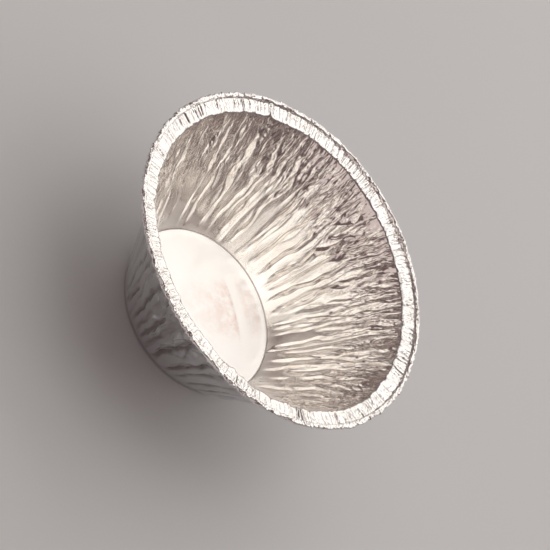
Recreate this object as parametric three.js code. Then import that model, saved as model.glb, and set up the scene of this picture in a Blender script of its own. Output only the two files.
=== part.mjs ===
// A deep foil pie case, pressed from one disc of aluminium foil: a flat base, a pleated wall, a crimped
// flange and a rolled bead. The real sheet is continuous. Here it is parted along its forming lines into
// four zones that meet edge to edge. Millimetres, +Z up, origin at the middle of the base's underside.
import * as THREE from "three";

// Driving dimensions of the sheet and of the whole form
const FOIL_GAUGE = 0.07;
const CASE_HEIGHT = 31.5; // base underside to the top of the bead
const RIM_DIAMETER = 72; // over the bead
const FLANGE_WIDTH = 4.2; // from the mouth, inside the shoulder, to the outside of the bead
const FLANGE_SLOPE_ANGLE = THREE.MathUtils.degToRad(12); // how the flange rises towards the bead
const BASE_DIAMETER = 38.6; // over the heel, if its bend went on to the vertical

// Bends of the section, as radii on the outside of the bend
const HEEL_RADIUS = 0.6; // base to wall
const SHOULDER_RADIUS = 0.9; // wall to flange, wider than the pleats are deep
const GROOVE_RADIUS = 0.35; // flange to the rise into the bead

// Rolled bead
const BEAD_DIAMETER = 1.1;
const BEAD_PROUD = 0.8; // top of the bead above the flange, where the groove begins
const BEAD_ENTRY_ANGLE = THREE.MathUtils.degToRad(70); // slope at which the sheet rises into the bead
const BEAD_TURN_ANGLE = THREE.MathUtils.degToRad(290); // how far round the edge is rolled
const BEAD_CLEARANCE = 0.1; // how far the roll closes in on itself over that turn

// Pleats of the wall and crimps of the flange
const PLEATS = 40;
const PLEAT_DEPTH = 0.6; // crest to flank of the deepest pleats, which turn inwards or outwards
const FORK_DEPTH = 0.3; // the same for the finer pleats that fork off in the gaps towards the mouth
const SMOOTH_SKIRT = 0.6; // plain wall above the heel, along the slant
const PLEAT_GROWTH = 6; // slant over which a pleat grows to its full depth
const FORK_START = 8; // where the finer pleats begin, along the slant
const CRIMP_DEPTH = 0.11; // half of ridge to valley, for the pressed-down pleats of the flange
const PLEAT_SLANT = 0.8; // how far a pleat leans round the mouth on its way up
const PLEAT_WANDER = 1.3; // how far a pleat strays from its even place at the mouth
const UNEVEN_RATIO = 0.6; // share of the depth that the shallowest pleats lack
const MOUTH_RATIO = 0.35; // share of the depth that a pleat keeps at the mouth
const FLANK_RATIO = 0.18; // flank of a pleat, as a share of the even pitch
const JITTER_RATIO = 0.8; // share of the free pitch between flanks that the places of pleats range over

// Facets along the section
const FACET_COUNTS = { heel: 2, wall: 5, shoulder: 2, flange: 1, groove: 1, curl: 6 };

const mouthRadius = RIM_DIAMETER / 2 - FLANGE_WIDTH;

// Section of the sheet's middle surface: x is the distance from the axis and y the height. It runs from
// the edge of the flat base, up the wall, over the shoulder and along the flange into the roll.
class RolledEdge extends THREE.Curve {
  constructor(centre, radius, startAngle, turn, closing) {
    super();
    Object.assign(this, { centre, radius, startAngle, turn, closing });
  }

  getPoint(t, target = new THREE.Vector2()) {
    const angle = this.startAngle - this.turn * t;
    const reach = this.radius - this.closing * t;
    return target.set(Math.cos(angle), Math.sin(angle)).multiplyScalar(reach).add(this.centre);
  }
}

function arc(centre, radius, startAngle, endAngle) {
  const clockwise = endAngle < startAngle;
  return new THREE.EllipseCurve(centre.x, centre.y, radius, radius, startAngle, endAngle, clockwise, 0);
}

const heelBend = HEEL_RADIUS - FOIL_GAUGE / 2;
const shoulderBend = SHOULDER_RADIUS - FOIL_GAUGE / 2;
const grooveBend = GROOVE_RADIUS - FOIL_GAUGE / 2;
const curlBend = (BEAD_DIAMETER - FOIL_GAUGE) / 2;

// The sheet rises from the groove into the roll, which starts where that slope touches its circle.
const curlCentre = new THREE.Vector2((RIM_DIAMETER - BEAD_DIAMETER) / 2, CASE_HEIGHT - BEAD_DIAMETER / 2);
const curlStart = Math.PI / 2 + BEAD_ENTRY_ANGLE;
const curl = new RolledEdge(curlCentre, curlBend, curlStart, BEAD_TURN_ANGLE, BEAD_CLEARANCE);
const rollStart = curl.getPoint(0);
const grooveFoot = CASE_HEIGHT - BEAD_PROUD - FOIL_GAUGE / 2;
const bendRise = grooveBend * (Math.cos(FLANGE_SLOPE_ANGLE) - Math.cos(BEAD_ENTRY_ANGLE));
const bendRun = grooveBend * (Math.sin(BEAD_ENTRY_ANGLE) - Math.sin(FLANGE_SLOPE_ANGLE));
const rampRun = (rollStart.y - grooveFoot - bendRise) / Math.tan(BEAD_ENTRY_ANGLE);
const grooveStart = new THREE.Vector2(rollStart.x - rampRun - bendRun, grooveFoot);
const acrossFlange = new THREE.Vector2(-Math.sin(FLANGE_SLOPE_ANGLE), Math.cos(FLANGE_SLOPE_ANGLE));
const grooveCentre = grooveStart.clone().addScaledVector(acrossFlange, grooveBend);
const groove = arc(
  grooveCentre,
  grooveBend,
  FLANGE_SLOPE_ANGLE - Math.PI / 2,
  BEAD_ENTRY_ANGLE - Math.PI / 2,
);

// The flange is the straight slope that touches the shoulder's bend and the groove's.
const heelCentre = new THREE.Vector2(BASE_DIAMETER / 2 - HEEL_RADIUS, HEEL_RADIUS);
const shoulderReach = mouthRadius + SHOULDER_RADIUS;
const flangeFall = (grooveStart.x - shoulderReach) * Math.tan(FLANGE_SLOPE_ANGLE);
const shoulderCentre = new THREE.Vector2(
  shoulderReach,
  grooveStart.y - flangeFall - shoulderBend / Math.cos(FLANGE_SLOPE_ANGLE),
);

// The wall is the straight line that touches the heel on its outside and the shoulder on its inside.
const heelToShoulder = shoulderCentre.clone().sub(heelCentre);
const wallLean =
  Math.atan2(heelToShoulder.x, heelToShoulder.y) -
  Math.asin((heelBend + shoulderBend) / heelToShoulder.length());
const heel = arc(heelCentre, heelBend, -Math.PI / 2, -wallLean);
const shoulder = arc(shoulderCentre, shoulderBend, Math.PI - wallLean, Math.PI / 2 + FLANGE_SLOPE_ANGLE);
const wall = new THREE.LineCurve(heel.getPoint(1), shoulder.getPoint(0));
const flange = new THREE.LineCurve(shoulder.getPoint(1), groove.getPoint(0));

// How deep pleats, forks and crimps are at a share of the way along each stretch of the section
const wallLength = wall.getLength();

function grown(t, start, end) {
  return THREE.MathUtils.smoothstep(t * wallLength, start, end);
}

const plain = () => ({ pleat: 0, fork: 0, crimp: 0 });
const pleated = (t) => ({
  pleat:
    PLEAT_DEPTH *
    grown(t, SMOOTH_SKIRT, SMOOTH_SKIRT + PLEAT_GROWTH) *
    THREE.MathUtils.lerp(1, MOUTH_RATIO, grown(t, wallLength / 2, wallLength)),
  fork: FORK_DEPTH * grown(t, FORK_START, wallLength),
  crimp: 0,
});
const flattened = (t) => ({
  pleat: (1 - t) * pleated(1).pleat,
  fork: (1 - t) * pleated(1).fork,
  crimp: t * CRIMP_DEPTH,
});
const crimped = () => flattened(1);
const fading = (t) => ({ ...plain(), crimp: (1 - t) * CRIMP_DEPTH });

// One station is a ring of the sheet: its place in the section, the direction to the sheet's underside,
// the depth of the pleats there and how far the pleats have leaned and strayed by then.
function stationsAlong(curve, divisions, depths, strayAt) {
  return Array.from({ length: divisions + 1 }, (_, i) => {
    const t = i / divisions;
    const tangent = curve.getTangent(t, new THREE.Vector2());
    const under = new THREE.Vector2(tangent.y, -tangent.x);
    return { point: curve.getPoint(t, new THREE.Vector2()), under, ...depths(t), stray: strayAt(t) };
  });
}

const unstrayed = () => 0;
const fullyStrayed = () => 1;
const heelStations = stationsAlong(heel, FACET_COUNTS.heel, plain, unstrayed);
const wallStations = stationsAlong(wall, FACET_COUNTS.wall, pleated, (t) => t);
const shoulderStations = stationsAlong(shoulder, FACET_COUNTS.shoulder, flattened, fullyStrayed);
const flangeStations = stationsAlong(flange, FACET_COUNTS.flange, crimped, fullyStrayed);
const grooveStations = stationsAlong(groove, FACET_COUNTS.groove, fading, fullyStrayed);
const curlStations = stationsAlong(curl, FACET_COUNTS.curl, plain, fullyStrayed);

// Neighbouring zones share the station on the forming line between them.
const wallZone = [...heelStations, ...wallStations.slice(1)];
const flangeZone = [
  wallStations.at(-1),
  ...shoulderStations.slice(1),
  ...flangeStations.slice(1),
  ...grooveStations.slice(1),
  curlStations[0],
];
const beadZone = curlStations;

// Each trait of a pleat is a fixed scatter from 0 to 1. A pleat has four columns round the case: the gap
// before it, where finer pleats fork off, its near flank, its crest and its far flank.
function scatter(pleat, trait) {
  const wave = Math.sin(12.9898 * pleat + 78.233 * trait) * 43758.5453;
  return wave - Math.floor(wave);
}

const placeRange = JITTER_RATIO * (1 - 2 * FLANK_RATIO);

function crestPlace(pleat) {
  return pleat + 0.5 + placeRange * (scatter((pleat + PLEATS) % PLEATS, 1) - 0.5);
}

const pleatColumns = Array.from({ length: PLEATS }, (_, pleat) => {
  const crest = crestPlace(pleat);
  const facing = scatter(pleat, 3) < 0.5 ? -1 : 1;
  const depth = facing * (1 - UNEVEN_RATIO * scatter(pleat, 2));
  return [
    { place: (crestPlace(pleat - 1) + crest) / 2, depth: 0, fork: 2 * scatter(pleat, 4) - 1 },
    { place: crest - FLANK_RATIO, depth: 0, fork: 0 },
    { place: crest, depth, fork: 0 },
    { place: crest + FLANK_RATIO, depth: 0, fork: 0 },
  ];
}).flat();

// On its way up the wall a pleat leans and strays sideways from its place.
function strayOf(round) {
  return (Math.sin(5 * round) + Math.sin(13 * round + 2)) / 2;
}

function pointOn(station, column, index, side) {
  const round = (2 * Math.PI * column.place) / PLEATS;
  const sideways = (PLEAT_SLANT + PLEAT_WANDER * strayOf(round)) / mouthRadius;
  const angle = round + station.stray * sideways;
  const crimp = index % 2 ? -station.crimp : station.crimp;
  const lift = station.pleat * column.depth + station.fork * column.fork + crimp + (side * FOIL_GAUGE) / 2;
  const reach = station.point.x + station.under.x * lift;
  const height = station.point.y + station.under.y * lift;
  return [reach * Math.cos(angle), reach * Math.sin(angle), height];
}

function solid(positions, faces) {
  const geometry = new THREE.BufferGeometry();
  geometry.setAttribute("position", new THREE.Float32BufferAttribute(positions, 3));
  geometry.setIndex(faces);
  geometry.computeVertexNormals();
  return geometry;
}

function ringOf(station, side) {
  return pleatColumns.flatMap((column, index) => pointOn(station, column, index, side));
}

// A zone of sheet is a closed ring: its underside out along the stations and its upper side back again.
// Both sides are split along the same diagonals, so that the sheet is as thick across every facet.
function sheetRing(stations) {
  const loop = [
    ...stations.map((station) => ({ station, side: 1 })),
    ...stations.toReversed().map((station) => ({ station, side: -1 })),
  ];
  const positions = loop.flatMap(({ station, side }) => ringOf(station, side));
  const columns = pleatColumns.length;
  const vertex = (row, index) => (row % loop.length) * columns + (index % columns);
  const faces = loop.flatMap(({ side }, row) =>
    pleatColumns.flatMap((_, index) => {
      const [a, b] = [vertex(row, index), vertex(row, index + 1)];
      const [c, d] = [vertex(row + 1, index + 1), vertex(row + 1, index)];
      return side > 0 ? [a, b, d, b, c, d] : [a, b, c, a, c, d];
    }),
  );
  return solid(positions, faces);
}

// The base is a plain disc of sheet out to the start of the heel's bend, and shares its edge with the heel.
function baseDisc() {
  const middles = [0, 0, 0, 0, 0, FOIL_GAUGE];
  const positions = [...ringOf(heelStations[0], 1), ...ringOf(heelStations[0], -1), ...middles];
  const columns = pleatColumns.length;
  const faces = pleatColumns.flatMap((_, index) => {
    const next = (index + 1) % columns;
    const [a, b, c, d] = [index, next, columns + next, columns + index];
    return [a, b, c, a, c, d, b, a, 2 * columns, d, c, 2 * columns + 1];
  });
  return solid(positions, faces);
}

function foil(colour, roughness) {
  return new THREE.MeshStandardMaterial({ color: colour, roughness, metalness: 1, flatShading: true });
}

function zone(name, geometry, material) {
  const mesh = new THREE.Mesh(geometry, material);
  mesh.name = name;
  return mesh;
}

const foilCase = new THREE.Group();
foilCase.add(
  zone("base_panel", baseDisc(), foil(0xe6e1da, 0.38)),
  zone("pleated_wall", sheetRing(wallZone), foil(0xbdb6b0, 0.24)),
  zone("crimped_flange", sheetRing(flangeZone), foil(0xe9e6e2, 0.3)),
  zone("rolled_bead", sheetRing(beadZone), foil(0xdedad6, 0.26)),
);

export default foilCase;
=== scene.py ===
"""Dresses a deep foil pie case: crumpled wall, crimped flange, rolled bead and plain satin base."""
import logging
import math
from dataclasses import dataclass
from enum import Enum

import bpy
import numpy as np
from mathutils import Matrix, Vector


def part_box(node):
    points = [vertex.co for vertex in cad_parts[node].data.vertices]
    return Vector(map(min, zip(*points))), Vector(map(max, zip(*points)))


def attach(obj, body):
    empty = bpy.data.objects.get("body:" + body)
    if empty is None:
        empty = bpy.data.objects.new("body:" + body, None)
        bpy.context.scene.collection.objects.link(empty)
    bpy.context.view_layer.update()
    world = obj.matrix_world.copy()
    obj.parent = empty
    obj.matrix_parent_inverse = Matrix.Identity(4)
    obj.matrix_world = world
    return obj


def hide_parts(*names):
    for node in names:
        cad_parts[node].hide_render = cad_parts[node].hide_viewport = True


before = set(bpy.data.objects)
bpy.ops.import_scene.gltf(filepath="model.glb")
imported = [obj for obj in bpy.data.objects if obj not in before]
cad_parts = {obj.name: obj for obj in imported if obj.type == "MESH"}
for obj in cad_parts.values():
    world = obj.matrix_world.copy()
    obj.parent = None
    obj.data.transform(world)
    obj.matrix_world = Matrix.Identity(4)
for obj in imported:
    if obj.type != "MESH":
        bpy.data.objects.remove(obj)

LOG = logging.getLogger("foil_case")
MM = 0.001
TURN = 2.0 * math.pi
IMAGE_PIXELS = 550
SENSOR_WIDTH_MM = 36.0
LAMP_COLOUR = (1.0, 0.985, 0.935)
FILL_COLOUR = (1.0, 0.87, 0.84)
Array = np.ndarray
Cells = tuple[int, int]
Pair = tuple[float, float]
Triple = tuple[float, float, float]
Material = bpy.types.Material
NodeGroup = bpy.types.NodeTree
Socket = bpy.types.NodeSocket


class Zone(Enum):
    """The formed zones of the one sheet of foil, named as in the frame."""

    BASE = "base_panel"
    WALL = "pleated_wall"
    FLANGE = "crimped_flange"
    BEAD = "rolled_bead"


class Side(Enum):
    """The two faces of the sheet, as the direction that half the gauge is added in."""

    UNDER = 1.0
    UPPER = -1.0


class Mask(Enum):
    """Masks that a piece's vertices carry for its finish."""

    # Painted shade: how much the crease colour darkens a vertex, in the folds, along the heel and beside the
    # base's painted highlight band.
    CREASE = "crease"
    DULL_SIDE = "dull_side"
    FILM = "film"


class Trait(Enum):
    """What chance sets for each main pleat, numbered as for the frame's solids."""

    PLACE = 1
    DEPTH = 2
    FACING = 3
    FORK = 4


def smooth_step(value: Array, start: float, end: float) -> Array:
    """Rise from 0 at start to 1 at end, as 3x squared less 2x cubed."""
    x = np.clip((value - start) / (end - start), 0.0, 1.0)
    return x * x * (3.0 - 2.0 * x)


def smoother_step(x: Array) -> Array:
    """Rise from 0 to 1: 6 times the fifth power, less 15 times the fourth, plus 10 times the third."""
    return x**3 * (x * (x * 6.0 - 15.0) + 10.0)


@dataclass(frozen=True)
class RingNoise:
    """Gradient noise on a grid of cells, so many round the case and so many along its section."""

    cells: Cells
    seed: int

    def at(self, around: Array, along: Array) -> Array:
        """Read the noise, which closes on itself round the case.

        Each grid point holds a random slope. A place takes the four slopes round it, each times its
        distance from that grid point, and mixes them by the smoother step in both directions.

        Args:
            around: Place round the case, in turns.
            along: Place along the section, from 0 to 1.

        Returns:
            Noise from about -0.7 to 0.7, in the common shape of the two places.
        """
        columns, rows = self.cells
        angle = np.random.default_rng(self.seed).uniform(0.0, TURN, (rows + 2, columns))
        slope_x, slope_y = np.cos(angle), np.sin(angle)
        x, y = np.broadcast_arrays(around * columns, np.clip(along, 0.0, 1.0) * rows)
        column, row = np.floor(x).astype(int), np.floor(y).astype(int)
        dx, dy = x - column, y - row

        def corner(right: int, up: int) -> Array:
            """Slope at one corner of the cell, times the distance from it."""
            at = (row + up, (column + right) % columns)
            return slope_x[at] * (dx - right) + slope_y[at] * (dy - up)

        mix_x, mix_y = smoother_step(dx), smoother_step(dy)
        low = corner(0, 0) * (1.0 - mix_x) + corner(1, 0) * mix_x
        high = corner(0, 1) * (1.0 - mix_x) + corner(1, 1) * mix_x
        return low * (1.0 - mix_y) + high * mix_y


@dataclass(frozen=True)
class CreasedFoil:
    """Sharp little folds of one size, made of smooth noise that is bent into ridges."""

    noise: RingNoise
    depth: float
    softness: float
    middle: float

    def lift(self, around: Array, along: Array) -> Array:
        """Lift of the folds: 1 less twice the root of noise and softness squared, less the middle."""
        noise = self.noise.at(around, along)
        return self.depth * (1.0 - 2.0 * np.sqrt(noise**2 + self.softness**2) - self.middle)


@dataclass(frozen=True)
class Section:
    """Section of the sheet's middle surface, in metres, from the base's edge to the roll's free edge."""

    rim_radius: float
    height: float
    heel_edge: float
    gauge: float = 0.07 * MM
    flange_width: float = 4.2 * MM
    flange_slope: float = math.radians(12.0)
    heel_radius: float = 0.3 * MM
    heel_rise: float = 0.12 * MM
    shoulder_radius: float = 0.9 * MM
    bead_diameter: float = 1.1 * MM
    bead_proud: float = 0.8 * MM
    bead_entry: float = math.radians(70.0)
    bead_turn: float = math.radians(290.0)
    bead_closing: float = 0.1 * MM

    @classmethod
    def from_frame(cls) -> "Section":
        """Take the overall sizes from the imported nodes' boxes.

        Returns:
            The section.
        """
        bead_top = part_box(Zone.BEAD.value)[1]
        heel_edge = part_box(Zone.BASE.value)[1].x
        return cls(rim_radius=bead_top.x, height=bead_top.z, heel_edge=heel_edge)

    @property
    def mouth_radius(self) -> float:
        """Radius of the mouth, inside the shoulder."""
        return self.rim_radius - self.flange_width

    @property
    def heel_centre(self) -> Array:
        """Centre of the bend between base and wall."""
        return np.array([self.heel_edge, self.heel_rise + self.heel_radius])

    @property
    def groove(self) -> Array:
        """Point where the flange turns up into the roll.

        Returns:
            Its distance from the axis and its height.
        """
        points, _ = self.curl(rows=2)
        low = self.height - self.bead_proud - self.gauge / 2
        across, up = points[0]
        return np.array([across - (up - low) / math.tan(self.bead_entry), low])

    @property
    def shoulder_centre(self) -> Array:
        """Centre of the bend between wall and flange.

        Returns:
            Its distance from the axis and its height.
        """
        bend = self.shoulder_radius - self.gauge / 2
        across = self.mouth_radius + self.shoulder_radius
        flange = self.groove[1] - (self.groove[0] - across) * math.tan(self.flange_slope)
        return np.array([across, flange - bend / math.cos(self.flange_slope)])

    @property
    def wall_lean(self) -> float:
        """Lean of the wall from the vertical, so that it touches the heel and the shoulder.

        Returns:
            The lean, in radians.
        """
        across, up = self.shoulder_centre - self.heel_centre
        bends = self.heel_radius + self.shoulder_radius - self.gauge
        return math.atan2(across, up) - math.asin(bends / math.hypot(across, up))

    def arc(self, centre: Array, radius: Array | float, angle: Array) -> tuple[Array, Array]:
        """Points of an arc, at angles counted upwards from outwards, and directions away from its centre."""
        away = np.stack([np.cos(angle), np.sin(angle)], axis=-1)
        return centre + np.asarray(radius)[..., None] * away, away

    def heel(self, rows: int) -> tuple[Array, Array]:
        """Bend from the base into the wall: a circle's arc from straight down to square off the wall."""
        angle = np.linspace(-math.pi / 2, -self.wall_lean, rows)
        return self.arc(self.heel_centre, self.heel_radius - self.gauge / 2, angle)

    def shoulder(self, rows: int) -> tuple[Array, Array]:
        """Bend from the wall into the flange: a circle's arc about a centre under the sheet.

        Args:
            rows: Number of points.

        Returns:
            Points and directions to the sheet's underside.
        """
        angle = np.linspace(math.pi - self.wall_lean, math.pi / 2 + self.flange_slope, rows)
        points, away = self.arc(self.shoulder_centre, self.shoulder_radius - self.gauge / 2, angle)
        return points, -away

    def straight(self, start: Array, end: Array, share: Array) -> tuple[Array, Array]:
        """Straight stretch between two points.

        Args:
            start: First point.
            end: Last point.
            share: Shares of the way from the first to the last.

        Returns:
            Points and directions to the sheet's underside, a quarter turn clockwise from the run.
        """
        run = (end - start) / np.linalg.norm(end - start)
        points = start + share[:, None] * (end - start)
        return points, np.broadcast_to([run[1], -run[0]], points.shape)

    def curl(self, rows: int) -> tuple[Array, Array]:
        """Rolled edge: a circle's arc that turns over, down and under while it closes in evenly.

        Args:
            rows: Number of points.

        Returns:
            Points and directions to the sheet's underside, which is the inside of the roll.
        """
        share = np.linspace(0.0, 1.0, rows)
        angle = math.pi / 2 + self.bead_entry - self.bead_turn * share
        reach = (self.bead_diameter - self.gauge) / 2 - self.bead_closing * share
        half = self.bead_diameter / 2
        centre = np.array([self.rim_radius - half, self.height - half])
        points, away = self.arc(centre, reach, angle)
        return points, -away


def ridge(away: Array, bluntness: float) -> Array:
    """Rise of a fold: 1 less the root of distance, in flanks, and bluntness squared, and no less than 0."""
    return np.maximum(0.0, 1.0 - np.sqrt(away**2 + bluntness**2))


@dataclass(frozen=True)
class MainPleats:
    """The wall's main pleats and forks, each with its own place and depth, as the frame's solids have them.

    Ranges are shares of the way up the wall, flanks are in pitches and the sway is in turns.
    """

    count: int = 40
    depth: float = 0.6 * MM
    fork_depth: float = 0.3 * MM
    grows: Pair = (0.019, 0.21)
    fades: Pair = (0.5, 1.0)
    kept_at_mouth: float = 0.35
    forks_grow: Pair = (0.257, 1.0)
    forks_fade: Pair = (0.8, 1.0)
    forks_kept: float = 0.5
    unevenness: float = 0.6
    flank: float = 0.18
    jitter: float = 0.8
    bluntness: float = 0.12
    scatter_steps: Pair = (12.9898, 78.233)
    scatter_size: float = 43758.5453
    sway: float = 0.01
    sway_noise: RingNoise = RingNoise((30, 4), seed=27)
    sway_ripple: RingNoise = RingNoise((90, 9), seed=28)
    slant: float = 0.8 * MM
    wander: float = 1.3 * MM
    wander_waves: Pair = (5.0, 13.0)
    wander_offset: float = 2.0

    def scatter(self, pleat: Array, trait: Trait) -> Array:
        """Share from 0 to 1 that is fixed for each pleat and trait: the broken part of a large sine.

        Args:
            pleat: Numbers of pleats, which may run past the count.
            trait: What the share is for.

        Returns:
            One share for each pleat.
        """
        pleat_step, trait_step = self.scatter_steps
        wave = np.sin(pleat_step * (pleat % self.count) + trait_step * trait.value) * self.scatter_size
        return wave - np.floor(wave)

    def crest(self, pleat: Array) -> Array:
        """Place of a pleat's crest, in pitches, which varies within the room that the flanks leave."""
        room = self.jitter * (1.0 - 2.0 * self.flank)
        return pleat + 0.5 + room * (self.scatter(pleat, Trait.PLACE) - 0.5)

    def lift(self, around: Array, along: Array) -> Array:
        """Lift of the main pleats: the ridges of the nearest crests, and of the forks between them.

        Half the pleats face inwards. A fork stands midway between two crests and is as wide as the room
        between their flanks. All of them sway a little on their way up, by coarse noise and half as much
        finer noise, times a half sine.

        Args:
            around: Place round the case, in turns.
            along: Place up the wall, from 0 to 1.

        Returns:
            Lift towards the sheet's underside, in metres.
        """
        sway = self.sway_noise.at(around, along) + self.sway_ripple.at(around, along) / 2.0
        place = (around + self.sway * np.sin(np.pi * along) * sway) * self.count
        pleats, forks = np.zeros(place.shape), np.zeros(place.shape)
        for step in (-1, 0, 1):
            pleat = np.floor(place) + step
            facing = np.where(self.scatter(pleat, Trait.FACING) < 0.5, -1.0, 1.0)
            depth = facing * (1.0 - self.unevenness * self.scatter(pleat, Trait.DEPTH))
            before, crest = self.crest(pleat - 1), self.crest(pleat)
            pleats += depth * ridge((place - crest) / self.flank, self.bluntness)
            half_gap = (crest - before) / 2.0
            room = half_gap - self.flank
            height = (2.0 * self.scatter(pleat, Trait.FORK) - 1.0) * smooth_step(room, 0.0, self.flank)
            forks += height * ridge((place - before - half_gap) / room, self.bluntness)
        pleats_kept = 1.0 - (1.0 - self.kept_at_mouth) * smooth_step(along, *self.fades)
        forks_kept = 1.0 - (1.0 - self.forks_kept) * smooth_step(along, *self.forks_fade)
        pleats = self.depth * pleats * smooth_step(along, *self.grows) * pleats_kept
        return pleats + self.fork_depth * forks * smooth_step(along, *self.forks_grow) * forks_kept

    def sideways(self, around: Array) -> Array:
        """How far pleats have gone round the case by the mouth: a slant and two slow waves.

        Args:
            around: Place round the case, in turns.

        Returns:
            The way round, in metres.
        """
        angle = TURN * around
        first, second = self.wander_waves
        waves = np.sin(first * angle) + np.sin(second * angle + self.wander_offset)
        return self.slant + self.wander * waves / 2.0


@dataclass(frozen=True)
class PleatFamily:
    """Pleats of about one size, side by side round the case, each with its own place, depth and length.

    Widths and places are in pitches. Starts, ends and growth are shares of the way. The sway is in turns.
    """

    count: int
    depth: float
    width: float
    sharpness: float
    growth: float
    seed: int
    starts: Pair
    ends: Pair
    sway: float
    sway_cells: Cells
    bluntness: float = 0.25
    jitter: float = 0.42
    depth_shares: Pair = (0.35, 1.0)
    width_shares: Pair = (0.6, 1.4)
    most_skew: float = 0.5
    calms: Pair = (0.6, 1.0)
    calm_share: float = 0.35

    def lift(self, around: Array, along: Array) -> Array:
        """Lift of the family: the ridges of the three nearest pleats added up.

        A ridge is e to the minus distance, in widths, raised to the sharpness. It grows smoothly from its
        start, fades smoothly past its end, and is steeper on one side than on the other. The sway grows
        along the pleats and calms down at their far ends.

        Args:
            around: Place round the case, in turns.
            along: Place up the wall or across the flange, from 0 to 1.

        Returns:
            Lift towards the sheet's underside, in metres.
        """
        rng = np.random.default_rng(self.seed)
        offset = rng.uniform(-self.jitter, self.jitter, self.count)
        depth = self.depth * rng.uniform(*self.depth_shares, self.count)
        depth = depth * rng.choice((-1.0, 1.0), self.count)
        width = self.width * rng.uniform(*self.width_shares, self.count)
        skew = rng.uniform(-self.most_skew, self.most_skew, self.count)
        start = rng.uniform(*self.starts, self.count)
        end = rng.uniform(*self.ends, self.count)
        noise = RingNoise(self.sway_cells, self.seed + 1).at(around, along)
        calm = 1.0 - self.calm_share * smooth_step(along, *self.calms)
        place = (around + self.sway * along * calm * noise) * self.count
        cell = np.floor(place).astype(int)
        total = np.zeros(place.shape)
        for step in (-1, 0, 1):
            pleat = (cell + step) % self.count
            away = place - (cell + step + 0.5 + offset[pleat])
            away = away / (width[pleat] * (1.0 + skew[pleat] * np.sign(away)))
            rise = np.exp(-np.power(away**2 + self.bluntness**2, self.sharpness / 2.0))
            grown = smooth_step((along - start[pleat]) / self.growth, 0.0, 1.0)
            faded = smooth_step((along - end[pleat]) / self.growth, 0.0, 1.0)
            total += depth[pleat] * rise * grown * (1.0 - faded)
        return total


# From the long pleats that rise at the heel to the finest, which show only near the mouth.
WALL_PLEATS = (
    PleatFamily(
        count=30, depth=0.44 * MM, width=0.13, sharpness=1.4, growth=0.08, seed=31,
        starts=(-0.08, 0.08), ends=(0.45, 1.3), sway=0.014, sway_cells=(24, 3),
    ),
    PleatFamily(
        count=46, depth=0.48 * MM, width=0.15, sharpness=1.3, growth=0.14, seed=41,
        starts=(0.0, 0.4), ends=(0.6, 1.5), sway=0.024, sway_cells=(20, 4),
    ),
    PleatFamily(
        count=44, depth=0.46 * MM, width=0.14, sharpness=1.3, growth=0.16, seed=51,
        starts=(0.15, 0.55), ends=(0.7, 1.7), sway=0.024, sway_cells=(24, 5),
    ),
    PleatFamily(
        count=104, depth=0.28 * MM, width=0.18, sharpness=1.3, growth=0.14, seed=61,
        starts=(0.3, 0.7), ends=(0.8, 1.7), sway=0.014, sway_cells=(44, 5),
    ),
    PleatFamily(
        count=240, depth=0.15 * MM, width=0.22, sharpness=1.2, growth=0.08, seed=91,
        starts=(0.5, 0.9), ends=(0.75, 1.3), sway=0.005, sway_cells=(110, 9),
    ),
    PleatFamily(
        count=300, depth=0.11 * MM, width=0.22, sharpness=1.2, growth=0.06, seed=95,
        starts=(0.6, 0.95), ends=(0.8, 1.4), sway=0.004, sway_cells=(140, 12),
    ),
)
# Sharp crimps, broad ones and fine ones.
FLANGE_CRIMPS = (
    PleatFamily(
        count=210, depth=0.27 * MM, width=0.16, sharpness=1.3, growth=0.2, seed=71,
        starts=(-0.5, 0.25), ends=(0.7, 1.2), sway=0.003, sway_cells=(90, 2),
    ),
    PleatFamily(
        count=170, depth=0.18 * MM, width=0.4, sharpness=1.8, growth=0.2, seed=73,
        starts=(-0.5, 0.2), ends=(0.8, 1.3), sway=0.003, sway_cells=(90, 2),
    ),
    PleatFamily(
        count=330, depth=0.17 * MM, width=0.2, sharpness=1.3, growth=0.2, seed=81,
        starts=(-0.3, 0.6), ends=(0.7, 1.2), sway=0.003, sway_cells=(120, 3),
    ),
)


@dataclass(frozen=True)
class WallWrinkles:
    """Wrinkles of the wall: main pleats, the finer families among them, and crackle towards the mouth."""

    pleats: MainPleats = MainPleats()
    families: tuple[PleatFamily, ...] = WALL_PLEATS
    families_grow: Pair = (0.0, 0.03)
    families_fade: Pair = (0.85, 1.0)
    families_kept: float = 0.5
    patch_noise: RingNoise = RingNoise((9, 2), seed=21)
    patch_level: float = 0.9
    patch_swing: float = 0.45
    crackle: CreasedFoil = CreasedFoil(RingNoise((300, 12), seed=22), 0.12 * MM, softness=0.05, middle=0.45)
    pinches: CreasedFoil = CreasedFoil(RingNoise((380, 26), seed=25), 0.06 * MM, softness=0.05, middle=0.45)
    crackle_grows: Pair = (0.35, 0.75)
    crackle_sway: float = 0.004
    crackle_sway_noise: RingNoise = RingNoise((70, 14), seed=24)
    spread_noise: RingNoise = RingNoise((16, 4), seed=23)
    spread_range: Pair = (-0.5, 0.25)
    least_spread: float = 0.65

    def lift(self, around: Array, along: Array) -> Array:
        """Lift of the wall: the pleats added up, deeper in some patches, and the crackle added to them.

        Args:
            around: Place round the case, in turns.
            along: Place up the wall, from 0 at the heel to 1 at the shoulder.

        Returns:
            Lift towards the sheet's underside, in metres.
        """
        patch = self.patch_level + self.patch_swing * self.patch_noise.at(around, along)
        kept = 1.0 - (1.0 - self.families_kept) * smooth_step(along, *self.families_fade)
        finer = patch * sum(family.lift(around, along) for family in self.families)
        finer = finer * smooth_step(along, *self.families_grow) * kept
        swayed = around + self.crackle_sway * self.crackle_sway_noise.at(around, along)
        crackle = self.crackle.lift(swayed, along) + self.pinches.lift(swayed, along)
        spread = smooth_step(self.spread_noise.at(around, along), *self.spread_range)
        spread = self.least_spread + (1.0 - self.least_spread) * spread
        grown = smooth_step(along, *self.crackle_grows)
        return self.pleats.lift(around, along) + finer + crackle * spread * grown


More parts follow.
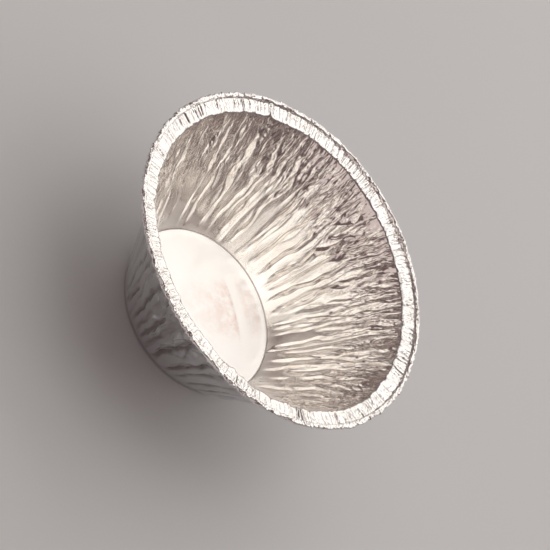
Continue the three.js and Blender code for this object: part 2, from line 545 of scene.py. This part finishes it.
@dataclass(frozen=True)
class FlangeWrinkles:
    """Wrinkles of the flange: narrow radial crimps, shallow dents and pebbled foil."""

    crimps: tuple[PleatFamily, ...] = FLANGE_CRIMPS
    dent_noise: RingNoise = RingNoise((130, 1), seed=44)
    dent_depth: float = 0.06 * MM
    pebbles: CreasedFoil = CreasedFoil(RingNoise((380, 6), seed=45), 0.1 * MM, softness=0.08, middle=0.4)
    pressed: Pair = (0.0, 0.35)
    fades: Pair = (0.85, 1.0)

    def lift(self, around: Array, out: Array, wall_edge: Array) -> Array:
        """Lift of the flange: the wall's pleats pressed flat over the shoulder, then the flange's own.

        Args:
            around: Place round the case, in turns.
            out: Place across the flange, from 0 where the wall ends to 1 where the roll starts.
            wall_edge: Lift of the wall where it ends.

        Returns:
            Lift towards the sheet's underside, in metres.
        """
        pressed = smooth_step(out, *self.pressed)
        fading = 1.0 - smooth_step(out, *self.fades)
        own = sum(family.lift(around, out) for family in self.crimps)
        own = own + self.dent_depth * self.dent_noise.at(around, out) + self.pebbles.lift(around, out)
        return (1.0 - pressed) * wall_edge + own * pressed * fading


@dataclass(frozen=True)
class BeadWrinkles:
    """Wrinkles of the roll: lumps where the crimps are rolled over, and small crinkles."""

    lump_noise: RingNoise = RingNoise((170, 3), seed=51)
    swell_noise: RingNoise = RingNoise((40, 2), seed=52)
    lump_depth: float = 0.32 * MM
    crinkles: CreasedFoil = CreasedFoil(RingNoise((360, 3), seed=53), 0.24 * MM, softness=0.06, middle=0.45)
    grows: Pair = (0.0, 0.12)

    def lift(self, around: Array, turn: Array) -> Array:
        """Lift of the roll: lumps and half as much slow swell, with crinkles, none where the roll starts.

        Args:
            around: Place round the case, in turns.
            turn: Place round the roll, from 0 to 1.

        Returns:
            Lift towards the inside of the roll, in metres.
        """
        lumps = self.lump_noise.at(around, turn) + self.swell_noise.at(around, turn) / 2.0
        lift = self.lump_depth * lumps + self.crinkles.lift(around, turn)
        return lift * smooth_step(turn, *self.grows)


@dataclass(frozen=True)
class RimShape:
    """How the rim as a whole departs from a flat circle, growing from a share of the case's height."""

    grows_from: float = 1.0 / 3.0
    wave_noise: RingNoise = RingNoise((7, 1), seed=61)
    wave_height: float = 0.22 * MM
    oval: float = 0.18 * MM
    oval_angle: float = math.radians(75.0)
    lobes: float = 0.24 * MM
    lobe_angle: float = math.radians(32.0)

    def rise(self, around: Array) -> Array:
        """Slow rise and fall of the rim, in metres."""
        return self.wave_height * self.wave_noise.at(around, np.zeros_like(around))

    def spread(self, around: Array) -> Array:
        """How far the rim is out of round: an oval and three lobes, as cosines of the angle.

        Args:
            around: Place round the case, in turns.

        Returns:
            The way outwards, in metres.
        """
        angle = TURN * around
        oval = self.oval * np.cos(2.0 * (angle - self.oval_angle))
        return oval + self.lobes * np.cos(3.0 * (angle - self.lobe_angle))


def grid_faces(rows: int, columns: int) -> Array:
    """Quads of a grid whose rows and columns both close on themselves.

    Args:
        rows: Number of rows.
        columns: Number of columns.

    Returns:
        One row of four vertex numbers for each quad.
    """
    row, column = np.meshgrid(np.arange(rows), np.arange(columns), indexing="ij")
    next_row, next_column = (row + 1) % rows, (column + 1) % columns
    corners = [(row, column), (row, next_column), (next_row, next_column), (next_row, column)]
    return np.stack([r * columns + c for r, c in corners], axis=-1).reshape(-1, 4)


def unit(vectors: Array) -> Array:
    """Vectors of the same directions, each of length 1."""
    return vectors / np.linalg.norm(vectors, axis=-1, keepdims=True)


def link_object(name: str, data: bpy.types.ID) -> bpy.types.Object:
    """Make an object of a mesh, light or camera.

    Args:
        name: Name of the object.
        data: What it shows.

    Returns:
        The object, linked to the scene.
    """
    made = bpy.data.objects.new(name, data)
    bpy.context.scene.collection.objects.link(made)
    return made


def new_group(name: str, inputs: dict[str, str], outputs: dict[str, str]) -> NodeGroup:
    """Make a shader node group that holds only its input and output nodes.

    Args:
        name: Name of the group.
        inputs: Kind of each input socket, by its name.
        outputs: Kind of each output socket, by its name.

    Returns:
        The group.
    """
    group = bpy.data.node_groups.new(name, "ShaderNodeTree")
    for in_out, sockets in (("INPUT", inputs), ("OUTPUT", outputs)):
        for socket, kind in sockets.items():
            group.interface.new_socket(socket, in_out=in_out, socket_type=f"NodeSocket{kind}")
    return group


def math_node(group: NodeGroup, operation: str, *values: Socket | float) -> Socket:
    """Add a Math node to a group.

    Args:
        group: The group.
        operation: What the node works out.
        values: What each of its inputs is linked to or set to.

    Returns:
        Its output.
    """
    node = group.nodes.new("ShaderNodeMath")
    node.operation = operation
    for socket, value in zip(node.inputs, values):
        if isinstance(value, Socket):
            group.links.new(value, socket)
        else:
            socket.default_value = value
    return node.outputs["Value"]


def noise_node(group: NodeGroup, place: Socket, scale: float, detail: float, roughness: float) -> Socket:
    """Add a Noise Texture node to a group.

    Args:
        group: The group.
        place: Where the noise is read.
        scale: Number of its largest lumps in a metre.
        detail: How many finer layers it has.
        roughness: How strong each finer layer is.

    Returns:
        Its value, from 0 to 1.
    """
    node = group.nodes.new("ShaderNodeTexNoise")
    node.inputs["Scale"].default_value = scale
    node.inputs["Detail"].default_value = detail
    node.inputs["Roughness"].default_value = roughness
    group.links.new(place, node.inputs["Vector"])
    return node.outputs["Fac"]


@dataclass(frozen=True)
class FoilGrain:
    """Fine relief of the foil: streaks along the rolling direction, and small crackle all over."""

    streak_stretch: Triple = (0.06, 1.0, 1.0)
    streak_turn: float = math.radians(35.0)
    streak_scale: float = 5200.0
    streak_detail: float = 3.0
    crackle_scale: float = 900.0
    crackle_detail: float = 4.0
    roughness: float = 0.5

    def group(self) -> NodeGroup:
        """Build the group: streaks times Grain plus crackle times Crackle.

        Returns:
            The group, with inputs Grain and Crackle and output Height.
        """
        group = new_group("foil_grain", {"Grain": "Float", "Crackle": "Float"}, {"Height": "Float"})
        inside, outside = group.nodes.new("NodeGroupInput"), group.nodes.new("NodeGroupOutput")
        place = group.nodes.new("ShaderNodeTexCoord").outputs["Object"]
        stretch = group.nodes.new("ShaderNodeMapping")
        stretch.inputs["Scale"].default_value = self.streak_stretch
        stretch.inputs["Rotation"].default_value = (0.0, 0.0, self.streak_turn)
        group.links.new(place, stretch.inputs["Vector"])
        along = stretch.outputs["Vector"]
        streaks = noise_node(group, along, self.streak_scale, self.streak_detail, self.roughness)
        crackle = noise_node(group, place, self.crackle_scale, self.crackle_detail, self.roughness)
        streaks = math_node(group, "MULTIPLY", streaks, inside.outputs["Grain"])
        crackle = math_node(group, "MULTIPLY", crackle, inside.outputs["Crackle"])
        group.links.new(math_node(group, "ADD", streaks, crackle), outside.inputs["Height"])
        return group


@dataclass(frozen=True)
class FoilShades:
    """Shades of the foil: warm clouds of film, painted shade in the folds' valleys and the duller outer
    side.
    """

    cloud_scale: float = 260.0
    cloud_detail: float = 6.0
    cloud_roughness: float = 0.75
    cloud_edges: Pair = (0.38, 0.58)
    film_shade: Triple = (0.86, 0.72, 0.68)
    # Colour of the painted shade in the folds' valleys.
    painted_crease_shade: Triple = (0.5, 0.46, 0.45)
    dull_shade: Triple = (0.9, 0.94, 0.98)
    cloud_dulling: float = 0.08
    side_dulling: float = 0.05

    def group(self) -> NodeGroup:
        """Build the group: the colour times each shade, and the roughness plus each dulling.

        The film is where the clouds are dense, as strong as Stain times its mask.

        Returns:
            The group, with outputs Colour and Roughness, and with inputs of the same names, for the stain's
            strength and for each mask.
        """
        finish = {"Colour": "Color", "Roughness": "Float"}
        masks = {mask.value: "Float" for mask in Mask}
        group = new_group("foil_shades", {**finish, "Stain": "Float", **masks}, finish)
        inside, outside = group.nodes.new("NodeGroupInput"), group.nodes.new("NodeGroupOutput")
        given = inside.outputs
        place = group.nodes.new("ShaderNodeTexCoord").outputs["Object"]
        clouds = noise_node(group, place, self.cloud_scale, self.cloud_detail, self.cloud_roughness)
        patches = group.nodes.new("ShaderNodeMapRange")
        patches.inputs["From Min"].default_value = self.cloud_edges[0]
        patches.inputs["From Max"].default_value = self.cloud_edges[1]
        strength = math_node(group, "MULTIPLY", given["Stain"], given[Mask.FILM.value])
        group.links.new(clouds, patches.inputs["Value"])
        group.links.new(strength, patches.inputs["To Max"])
        colour = given["Colour"]
        for factor, shade in (
            (patches.outputs["Result"], self.film_shade),
            # The crease mask paints shade into the colour.
            (given[Mask.CREASE.value], self.painted_crease_shade),
            (given[Mask.DULL_SIDE.value], self.dull_shade),
        ):
            tint = group.nodes.new("ShaderNodeMix")
            tint.data_type = "RGBA"
            tint.blend_type = "MULTIPLY"
            tint.inputs["B"].default_value = (*shade, 1.0)
            group.links.new(factor, tint.inputs["Factor"])
            group.links.new(colour, tint.inputs["A"])
            colour = tint.outputs["Result"]
        roughness = math_node(group, "MULTIPLY_ADD", clouds, self.cloud_dulling, given["Roughness"])
        dull_side = given[Mask.DULL_SIDE.value]
        roughness = math_node(group, "MULTIPLY_ADD", dull_side, self.side_dulling, roughness)
        group.links.new(colour, outside.inputs["Colour"])
        group.links.new(roughness, outside.inputs["Roughness"])
        return group


@dataclass(frozen=True)
class FoilFinish:
    """One finish of the foil: its colour, gloss and fine surface."""

    slot: str
    colour: Triple
    roughness: float
    grain: float
    crackle: float
    stain: float
    bump_strength: float = 0.6
    bump_height: float = 0.05 * MM

    def material(self, grain_group: NodeGroup, shades_group: NodeGroup) -> Material:
        """Build the metal, with its fine relief and shades from the shared groups.

        Args:
            grain_group: Group that gives the height of the rolling grain and crackle.
            shades_group: Group that gives the colour and roughness with film, painted crease shade and
                duller side.

        Returns:
            The material.
        """
        made = bpy.data.materials.new(self.slot)
        made.use_nodes = True
        nodes, links = made.node_tree.nodes, made.node_tree.links
        shader = nodes["Principled BSDF"]
        shader.inputs["Metallic"].default_value = 1.0
        shades = nodes.new("ShaderNodeGroup")
        shades.node_tree = shades_group
        shades.inputs["Colour"].default_value = (*self.colour, 1.0)
        shades.inputs["Roughness"].default_value = self.roughness
        shades.inputs["Stain"].default_value = self.stain
        for mask in Mask:
            read = nodes.new("ShaderNodeAttribute")
            read.attribute_name = mask.value
            links.new(read.outputs["Fac"], shades.inputs[mask.value])
        links.new(shades.outputs["Colour"], shader.inputs["Base Color"])
        links.new(shades.outputs["Roughness"], shader.inputs["Roughness"])
        grain = nodes.new("ShaderNodeGroup")
        grain.node_tree = grain_group
        grain.inputs["Grain"].default_value = self.grain
        grain.inputs["Crackle"].default_value = self.crackle
        bump = nodes.new("ShaderNodeBump")
        bump.inputs["Strength"].default_value = self.bump_strength
        bump.inputs["Distance"].default_value = self.bump_height
        links.new(grain.outputs["Height"], bump.inputs["Height"])
        links.new(bump.outputs["Normal"], shader.inputs["Normal"])
        return made


FINISHES = {
    Zone.BASE: FoilFinish(
        "plain_foil", colour=(0.99, 0.98, 0.97), roughness=0.34, grain=0.6, crackle=0.1, stain=1.0
    ),
    Zone.WALL: FoilFinish(
        "pleated_foil", colour=(0.975, 0.955, 0.925), roughness=0.1, grain=0.1, crackle=0.08, stain=0.12
    ),
    Zone.FLANGE: FoilFinish(
        "crimped_foil", colour=(0.93, 0.92, 0.91), roughness=0.16, grain=0.1, crackle=0.4, stain=0.12
    ),
    Zone.BEAD: FoilFinish(
        "rolled_foil", colour=(0.92, 0.91, 0.9), roughness=0.16, grain=0.1, crackle=0.4, stain=0.12
    ),
}


@dataclass
class FormedFoil:
    """A stretch of the formed sheet, which makes its meshes and dresses them."""

    section: Section

    def make(
        self, name: str, places: Array, faces: Array, normals: Array, masks: dict[Mask, Array]
    ) -> bpy.types.Object:
        """Make a smooth-shaded object from vertices and faces that all have as many corners.

        Args:
            name: Name of the object and its mesh.
            places: Vertices, in metres.
            faces: Vertex numbers of each face.
            normals: Direction of the surface at each vertex.
            masks: Masks for the finish, with one value for each vertex.

        Returns:
            The object, linked to the scene and riding on the case.
        """
        mesh = bpy.data.meshes.new(name)
        mesh.vertices.add(len(places))
        mesh.vertices.foreach_set("co", places.astype(np.float32).ravel())
        mesh.loops.add(faces.size)
        mesh.loops.foreach_set("vertex_index", faces.astype(np.int32).ravel())
        mesh.polygons.add(len(faces))
        starts = np.arange(0, faces.size, faces.shape[1], dtype=np.int32)
        mesh.polygons.foreach_set("loop_start", starts)
        mesh.update(calc_edges=True)
        mesh.validate()
        mesh.shade_smooth()
        mesh.normals_split_custom_set_from_vertices(normals.tolist())
        for mask, values in masks.items():
            attribute = mesh.attributes.new(mask.value, "FLOAT", "POINT")
            attribute.data.foreach_set("value", values.astype(np.float32).ravel())
        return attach(link_object(name, mesh), "root")

    def dress(self, made: bpy.types.Object, zone: Zone, material: Material) -> None:
        """Give a piece its material, hide the frame's node that it stands for, and report it.

        Args:
            made: The piece.
            zone: The zone of the sheet that it shows.
            material: Its material.
        """
        made.data.materials.append(material)
        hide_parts(zone.value)
        LOG.info("%s: %d faces", made.name, len(made.data.polygons))


@dataclass(frozen=True)
class Stations:
    """Rows of the sheet from the heel to the free edge.

    They hold the section's points, the directions to the underside, the lifts, each row's share of the
    pleats' way round, and the numbers of the last rows of the wall and of the flange.
    """

    points: Array
    under: Array
    lift: Array
    stray: Array
    wall_end: int
    flange_end: int


@dataclass
class FoilSheet(FormedFoil):
    """The formed sheet outside the base: heel, wall, shoulder, flange and roll, as one grid of rows."""

    wall_wrinkles: WallWrinkles = WallWrinkles()
    flange_wrinkles: FlangeWrinkles = FlangeWrinkles()
    bead_wrinkles: BeadWrinkles = BeadWrinkles()
    rim: RimShape = RimShape()
    columns: int = 1600
    wall_bands: int = 6
    heel_rows: int = 5
    wall_rows: int = 130
    shoulder_rows: int = 8
    flat_rows: int = 16
    rise_rows: int = 4
    curl_rows: int = 18
    # Stencils and bends shape the painted crease shade on each face; the heel gets a painted dark line of
    # its own.
    inner_stencil: int = 1
    inner_bends: Pair = (1.5, 8.0)
    outer_stencil: int = 12
    outer_bends: Pair = (-0.2, 0.7)
    painted_heel_shade: float = 0.8

    def around(self) -> Array:
        """Place of each column, in turns."""
        return np.arange(self.columns)[None, :] / self.columns

    def stations(self) -> Stations:
        """Follow the section from the heel to the free edge: arcs and straights, joined end to end.

        Returns:
            The rows.
        """
        section, around, spread = self.section, self.around(), np.ones((1, self.columns))
        heel, heel_under = section.heel(self.heel_rows)
        shoulder, shoulder_under = section.shoulder(self.shoulder_rows)
        curl, curl_under = section.curl(self.curl_rows)
        counts = (self.wall_rows, self.flat_rows, self.rise_rows)
        wall_share, flat_share, rise_share = (np.linspace(0.0, 1.0, count + 1)[1:] for count in counts)
        wall, wall_under = section.straight(heel[-1], shoulder[0], wall_share)
        flat, flat_under = section.straight(shoulder[-1], section.groove, flat_share)
        rise, rise_under = section.straight(section.groove, curl[0], rise_share)
        points = np.concatenate([heel, wall, shoulder[1:], flat, rise, curl[1:]])
        under = np.concatenate(
            [heel_under, wall_under, shoulder_under[1:], flat_under, rise_under, curl_under[1:]]
        )
        wall_end = self.heel_rows + self.wall_rows - 1
        flange_end = len(points) - self.curl_rows
        steps = np.linalg.norm(np.diff(points[wall_end : flange_end + 1], axis=0), axis=1)
        out = (np.cumsum(steps) / np.sum(steps))[:, None] * spread
        turn = np.linspace(0.0, 1.0, self.curl_rows)[1:, None] * spread
        heel_lift = np.zeros((self.heel_rows, self.columns))
        wall_lift = self.wall_wrinkles.lift(around, wall_share[:, None] * spread)
        flange_lift = self.flange_wrinkles.lift(around, out, wall_lift[-1:])
        bead_lift = self.bead_wrinkles.lift(around, turn)
        lift = np.concatenate([heel_lift, wall_lift, flange_lift, bead_lift])
        stray = np.interp(np.arange(len(points)), [self.heel_rows - 1, wall_end], [0.0, 1.0])[:, None]
        return Stations(points, under, lift, stray, wall_end, flange_end)

    def face(self, rows: Stations, side: Side) -> tuple[Array, Array]:
        """Turn the section about the axis into one face of the sheet.

        Each point moves along its underside direction by the lift and half the gauge. The rim's slow wave
        is added to the height, and its oval and lobes to the reach, more and more towards the top. Each row
        is turned by its share of the pleats' way round.

        Args:
            rows: The rows of the sheet.
            side: Which face.

        Returns:
            Places and outward unit normals, in rows and columns.
        """
        section, around = self.section, self.around()
        shift = rows.lift + side.value * section.gauge / 2
        reach = rows.points[:, 0:1] + rows.under[:, 0:1] * shift
        height = rows.points[:, 1:2] + rows.under[:, 1:2] * shift
        grown = smooth_step(rows.points[:, 1:2], section.height * self.rim.grows_from, section.height)
        height = height + grown * self.rim.rise(around)
        reach = reach + grown * self.rim.spread(around)
        way_round = self.wall_wrinkles.pleats.sideways(around) / section.mouth_radius
        angle = TURN * around + rows.stray * way_round
        places = np.stack([reach * np.cos(angle), reach * np.sin(angle), height], axis=-1)
        across = np.roll(places, -1, axis=1) - np.roll(places, 1, axis=1)
        normals = side.value * unit(np.cross(across, np.gradient(places, axis=0)))
        return places, normals

    def painted_shading(self, rows: Stations, side: Side) -> Array:
        """Painted shade of the folds, as seen from one face: 1 in sharp valleys and 0 on sharp ridges.

        The measure is the lift's second difference across three columns over the columns' distance squared,
        in one over millimetres. The columns are further apart on the outer side, so there it paints broader
        dark bands, painted shade of the folds. Inside, sharp valleys get painted shade with some of creased
        foil's own darker look, and the heel is painted as one dark line.

        Args:
            rows: The rows of the sheet.
            side: Which face.

        Returns:
            The mask, in rows and columns.
        """
        outer = side is Side.UNDER
        stencil = self.outer_stencil if outer else self.inner_stencil
        bends = self.outer_bends if outer else self.inner_bends
        lift = rows.lift
        difference = np.roll(lift, -stencil, axis=1) - 2.0 * lift + np.roll(lift, stencil, axis=1)
        step = TURN * rows.points[:, 0:1] / self.columns * stencil
        mask = smooth_step(side.value * difference / step**2 * MM, *bends)
        # Painted dark line along the heel, inside only.
        if not outer:
            mask[: self.heel_rows] = self.painted_heel_shade
        return mask

    def spans(self, rows: Stations) -> list[tuple[Zone, str, int, int]]:
        """Share the rows out among the pieces: even bands of the wall, the flange and the bead.

        Args:
            rows: The rows of the sheet.

        Returns:
            Zone, name, first row and last row of each piece.
        """
        cuts = np.linspace(0, rows.wall_end, self.wall_bands + 1).round().astype(int)
        bands = [
            (Zone.WALL, f"foil_wall_band_{number}", cuts[number - 1], cuts[number])
            for number in range(1, self.wall_bands + 1)
        ]
        flange = (Zone.FLANGE, "foil_flange", rows.wall_end, rows.flange_end)
        bead = (Zone.BEAD, "foil_bead", rows.flange_end, len(rows.points) - 1)
        return [*bands, flange, bead]

    def build(self, materials: dict[Zone, Material]) -> None:
        """Make the pieces as closed rings: the underside out along the rows and the upper side back again.

        Args:
            materials: Material of each zone.
        """
        rows = self.stations()
        under, under_normals = self.face(rows, Side.UNDER)
        upper, upper_normals = self.face(rows, Side.UPPER)
        under_painted_shading, upper_painted_shading = self.painted_shading(rows, Side.UNDER), self.painted_shading(rows, Side.UPPER)
        for zone, name, first, last in self.spans(rows):
            kept = slice(first, last + 1)
            loop = np.concatenate([under[kept], upper[kept][::-1]])
            normals = np.concatenate([under_normals[kept], upper_normals[kept][::-1]])
            # Painted crease shade, carried as a mask.
            painted_shading = np.concatenate([under_painted_shading[kept], upper_painted_shading[kept][::-1]])
            dull = np.repeat((1.0, 0.0), len(painted_shading) // 2)[:, None] * np.ones((1, self.columns))
            masks = {Mask.CREASE: painted_shading, Mask.DULL_SIDE: dull, Mask.FILM: np.ones_like(dull)}
            faces = grid_faces(len(loop), self.columns)
            made = self.make(name, loop.reshape(-1, 3), faces, normals.reshape(-1, 3), masks)
            self.dress(made, zone, materials[zone])


@dataclass
class BasePanel(FormedFoil):
    """The flat base, with the slight sag and swell of thin sheet and an edge that turns up to the heel.

    Rings and ranges are shares of the way from the middle to the edge.
    """

    columns: int = 800
    rings: int = 56
    ring_power: float = 0.7
    levels_out: Pair = (0.85, 1.0)
    turns_up: Pair = (0.91, 1.01)
    swell_depth: float = 0.03 * MM
    swell_waves: Pair = (3.1, 2.6)
    swell_offsets: Pair = (0.7, -0.4)
    # Film cleared in a ring by the edge: a painted highlight along the heel.
    painted_highlight_ring: Pair = (0.91, 0.95)
    # A painted highlight band and a painted shade line beside it stand in for a dent in the base; the film
    # is densest next to the shade line, partly painted shadow.
    painted_highlight_place: float = 10.3 * MM
    painted_highlight_width: float = 1.8 * MM
    painted_dent_length: Pair = (3.0 * MM, 9.0 * MM)
    painted_dent_bow: float = 0.9 * MM
    film_spread: float = 8.0 * MM
    film_beyond: float = 0.5
    painted_shade_width: float = 0.35 * MM
    painted_shade_share: float = 0.2

    def swell(self, x: Array, y: Array) -> Array:
        """Sag and swell of the base: the product of two slow waves, raised to lie above 0.

        Args:
            x: Place across the base, in metres.
            y: Place along the base, in metres.

        Returns:
            Height, in metres.
        """
        size = self.section.heel_edge
        wave_x = np.sin(self.swell_waves[0] * x / size + self.swell_offsets[0])
        wave_y = np.sin(self.swell_waves[1] * y / size + self.swell_offsets[1])
        return self.swell_depth * wave_x * wave_y + self.swell_depth

    def film_and_painted_dent(self, x: Array, y: Array) -> tuple[Array, Array]:
        """Film on the base, with a painted highlight band and a painted shade line that stand in for a dent.

        The film thins out from the dark line by e to the minus distance, so it is densest on the dent's
        shaded side, partly painted shadow. On the other side comes the band without film, a painted
        highlight, and then thinner film. The dark line is painted shade: a bell curve that bows as the
        square of the place along it, and like the film it fades at the band's two ends.

        Args:
            x: Place across the band, in metres.
            y: Place along the band, in metres.

        Returns:
            Masks of the film and of the painted shade line.
        """
        away = x - self.painted_highlight_place + self.painted_dent_bow * (y / self.painted_dent_length[1]) ** 2
        kept = 1.0 - smooth_step(np.abs(y), *self.painted_dent_length)
        beyond = self.film_beyond * smooth_step(away, self.painted_highlight_width, 2.0 * self.painted_highlight_width)
        film = np.where(away < 0.0, np.exp(np.minimum(away, 0.0) / self.film_spread), beyond)
        return film * kept, self.painted_shade_share * np.exp(-((away / self.painted_shade_width) ** 2)) * kept

    def triangles(self) -> Array:
        """Triangles of the rings from the middle of one face over the edge to the middle of the other.

        Returns:
            Three vertex numbers for each triangle. The two middles come after all the rings.
        """
        columns, rows = self.columns, 2 * self.rings
        quads = grid_faces(rows, columns)[: (rows - 1) * columns]
        first, second = np.arange(columns), (np.arange(columns) + 1) % columns
        last, middle = (rows - 1) * columns, np.full(columns, rows * columns)
        low = np.stack([second, first, middle], axis=-1)
        high = np.stack([last + first, last + second, middle + 1], axis=-1)
        return np.concatenate([quads[:, [0, 1, 2]], quads[:, [0, 2, 3]], low, high])

    def masks(self, x: Array, y: Array, share: Array) -> dict[Mask, Array]:
        """Masks for the finish: film on both faces, the painted shade line inside and the dull side
        underneath.

        Args:
            x: Place of each ring's points across the base, in metres.
            y: Place of each ring's points along the base, in metres.
            share: Size of each ring.

        Returns:
            The masks, with one value for each vertex.
        """
        film, crease = self.film_and_painted_dent(x, y)
        # No film near the edge: painted highlight of the heel ring.
        film = film * (1.0 - smooth_step(share, *self.painted_highlight_ring))
        both_films = np.concatenate([film, film[::-1]])
        # The painted shade line goes on the inside face only.
        inside_painted_shade = np.concatenate([np.zeros_like(crease), crease[::-1]])
        return {
            Mask.CREASE: np.append(inside_painted_shade, (0.0, 0.0)),
            Mask.DULL_SIDE: np.append(np.repeat((1.0, 0.0), x.size), (1.0, 0.0)),
            Mask.FILM: np.append(both_films, (0.0, 0.0)),
        }

    def build(self, material: Material) -> None:
        """Make the disc: a polar grid on each face, closed round the edge and by a fan at each middle.

        Args:
            material: Material of the base.
        """
        section = self.section
        share = np.linspace(0.0, 1.0, self.rings + 1)[1:, None] ** self.ring_power
        angle = TURN * np.arange(self.columns)[None, :] / self.columns
        x = section.heel_edge * share * np.cos(angle)
        y = section.heel_edge * share * np.sin(angle)
        height = self.swell(x, y) * (1.0 - smooth_step(share, *self.levels_out))
        height = height + section.heel_rise * smooth_step(share, *self.turns_up)
        under, upper = (np.stack([x, y, height + level], axis=-1) for level in (0.0, section.gauge))
        across = np.roll(under, -1, axis=1) - np.roll(under, 1, axis=1)
        normals = unit(np.cross(np.gradient(under, axis=0), across))
        loop = np.concatenate([under, upper[::-1]]).reshape(-1, 3)
        loop_normals = np.concatenate([-normals, normals[::-1]]).reshape(-1, 3)
        middle = float(self.swell(np.zeros(1), np.zeros(1))[0])
        middles = np.array([[0.0, 0.0, middle], [0.0, 0.0, middle + section.gauge]])
        middle_normals = np.array([[0.0, 0.0, -1.0], [0.0, 0.0, 1.0]])
        places = np.concatenate([loop, middles])
        all_normals = np.concatenate([loop_normals, middle_normals])
        made = self.make("foil_base", places, self.triangles(), all_normals, self.masks(x, y, share))
        self.dress(made, Zone.BASE, material)


@dataclass(frozen=True)
class SoftBox:
    """A soft light that faces the case: its face in metres, and its glow, where 1 shows as white."""

    name: str
    direction: Triple
    face: Pair
    glow: float
    colour: Triple = LAMP_COLOUR
    distance: float = 1.2
    aim_height: float = 20.0 * MM

    def hang(self) -> None:
        """Hang the light in its direction from the case, turned towards it."""
        data = bpy.data.lights.new(self.name, "AREA")
        data.shape = "RECTANGLE"
        data.size, data.size_y = self.face
        data.color = self.colour
        data.energy = self.glow * math.pi * self.face[0] * self.face[1]
        light = link_object(self.name, data)
        towards = Vector(self.direction).normalized()
        light.location = towards * self.distance + Vector((0.0, 0.0, self.aim_height))
        light.rotation_mode = "QUATERNION"
        light.rotation_quaternion = towards.to_track_quat("Z", "Y")


# The base and the flange mirror the large key light, and the wall's folds mirror all of them.
SOFT_BOXES = (
    SoftBox("key", direction=(0.81, 0.25, 0.53), face=(2.8, 1.4), glow=1.04),
    SoftBox("top", direction=(0.02, 0.01, 1.0), face=(0.6, 0.6), glow=1.5),
    SoftBox("back", direction=(0.4, 0.16, 0.9), face=(1.4, 0.5), glow=0.65),
    SoftBox("left", direction=(-0.25, 0.55, 0.8), face=(0.8, 0.8), glow=0.75),
    SoftBox("right", direction=(0.25, -0.55, 0.8), face=(0.8, 0.8), glow=1.05),
    SoftBox("front", direction=(-0.92, -0.37, 0.14), face=(2.2, 0.6), glow=0.5, colour=FILL_COLOUR),
)


@dataclass(frozen=True)
class Studio:
    """Floor, soft lights and the camera of the photograph."""

    camera_place: Triple = (-181.03 * MM, -73.84 * MM, 199.9 * MM)
    camera_target: Triple = (-3.3 * MM, -3.4 * MM, 28.1 * MM)
    camera_roll: float = math.radians(59.35)
    camera_clip: Pair = (0.01, 10.0)
    focal_pixels: float = 1304.7
    floor_half: float = 3.0
    floor_drop: float = 0.02 * MM
    floor_colour: Triple = (0.62, 0.62, 0.63)
    floor_roughness: float = 0.7
    room_colour: Triple = (0.135, 0.097, 0.094)
    lights: tuple[SoftBox, ...] = SOFT_BOXES

    def set_camera(self) -> None:
        """Place the camera, rolled so that the case leans as it does in the picture."""
        data = bpy.data.cameras.new("camera")
        data.sensor_width = SENSOR_WIDTH_MM
        data.lens = self.focal_pixels / IMAGE_PIXELS * SENSOR_WIDTH_MM
        data.clip_start, data.clip_end = self.camera_clip
        camera = link_object("camera", data)
        place, target = Vector(self.camera_place), Vector(self.camera_target)
        aim = (target - place).to_track_quat("-Z", "Y").to_matrix()
        turned = aim @ Matrix.Rotation(self.camera_roll, 3, "Z")
        camera.matrix_world = Matrix.Translation(place) @ turned.to_4x4()
        bpy.context.scene.camera = camera

    def lay_floor(self) -> None:
        """Lay a plain pale floor just under the case."""
        half, low = self.floor_half, -self.floor_drop
        corners = [(-half, -half, low), (half, -half, low), (half, half, low), (-half, half, low)]
        mesh = bpy.data.meshes.new("floor")
        mesh.from_pydata(corners, [], [(0, 1, 2, 3)])
        floor = link_object("floor", mesh)
        finish = bpy.data.materials.new("pale_floor")
        finish.use_nodes = True
        shader = finish.node_tree.nodes["Principled BSDF"]
        shader.inputs["Base Color"].default_value = (*self.floor_colour, 1.0)
        shader.inputs["Roughness"].default_value = self.floor_roughness
        mesh.materials.append(finish)

    def light(self) -> None:
        """Light the case with soft boxes on all sides, in a dim warm room."""
        world = bpy.data.worlds.new("room")
        world.use_nodes = True
        background = world.node_tree.nodes["Background"]
        background.inputs["Color"].default_value = (*self.room_colour, 1.0)
        bpy.context.scene.world = world
        for soft_box in self.lights:
            soft_box.hang()
        bpy.context.scene.view_settings.view_transform = "Standard"


def main() -> None:
    """Build the zones of the case, light them and set the camera."""
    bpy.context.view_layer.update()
    section = Section.from_frame()
    grain, shades = FoilGrain().group(), FoilShades().group()
    materials = {zone: finish.material(grain, shades) for zone, finish in FINISHES.items()}
    BasePanel(section).build(materials[Zone.BASE])
    FoilSheet(section).build(materials)
    studio = Studio()
    studio.lay_floor()
    studio.light()
    studio.set_camera()


if __name__ == "__main__":
    logging.basicConfig(level=logging.INFO)
    main()
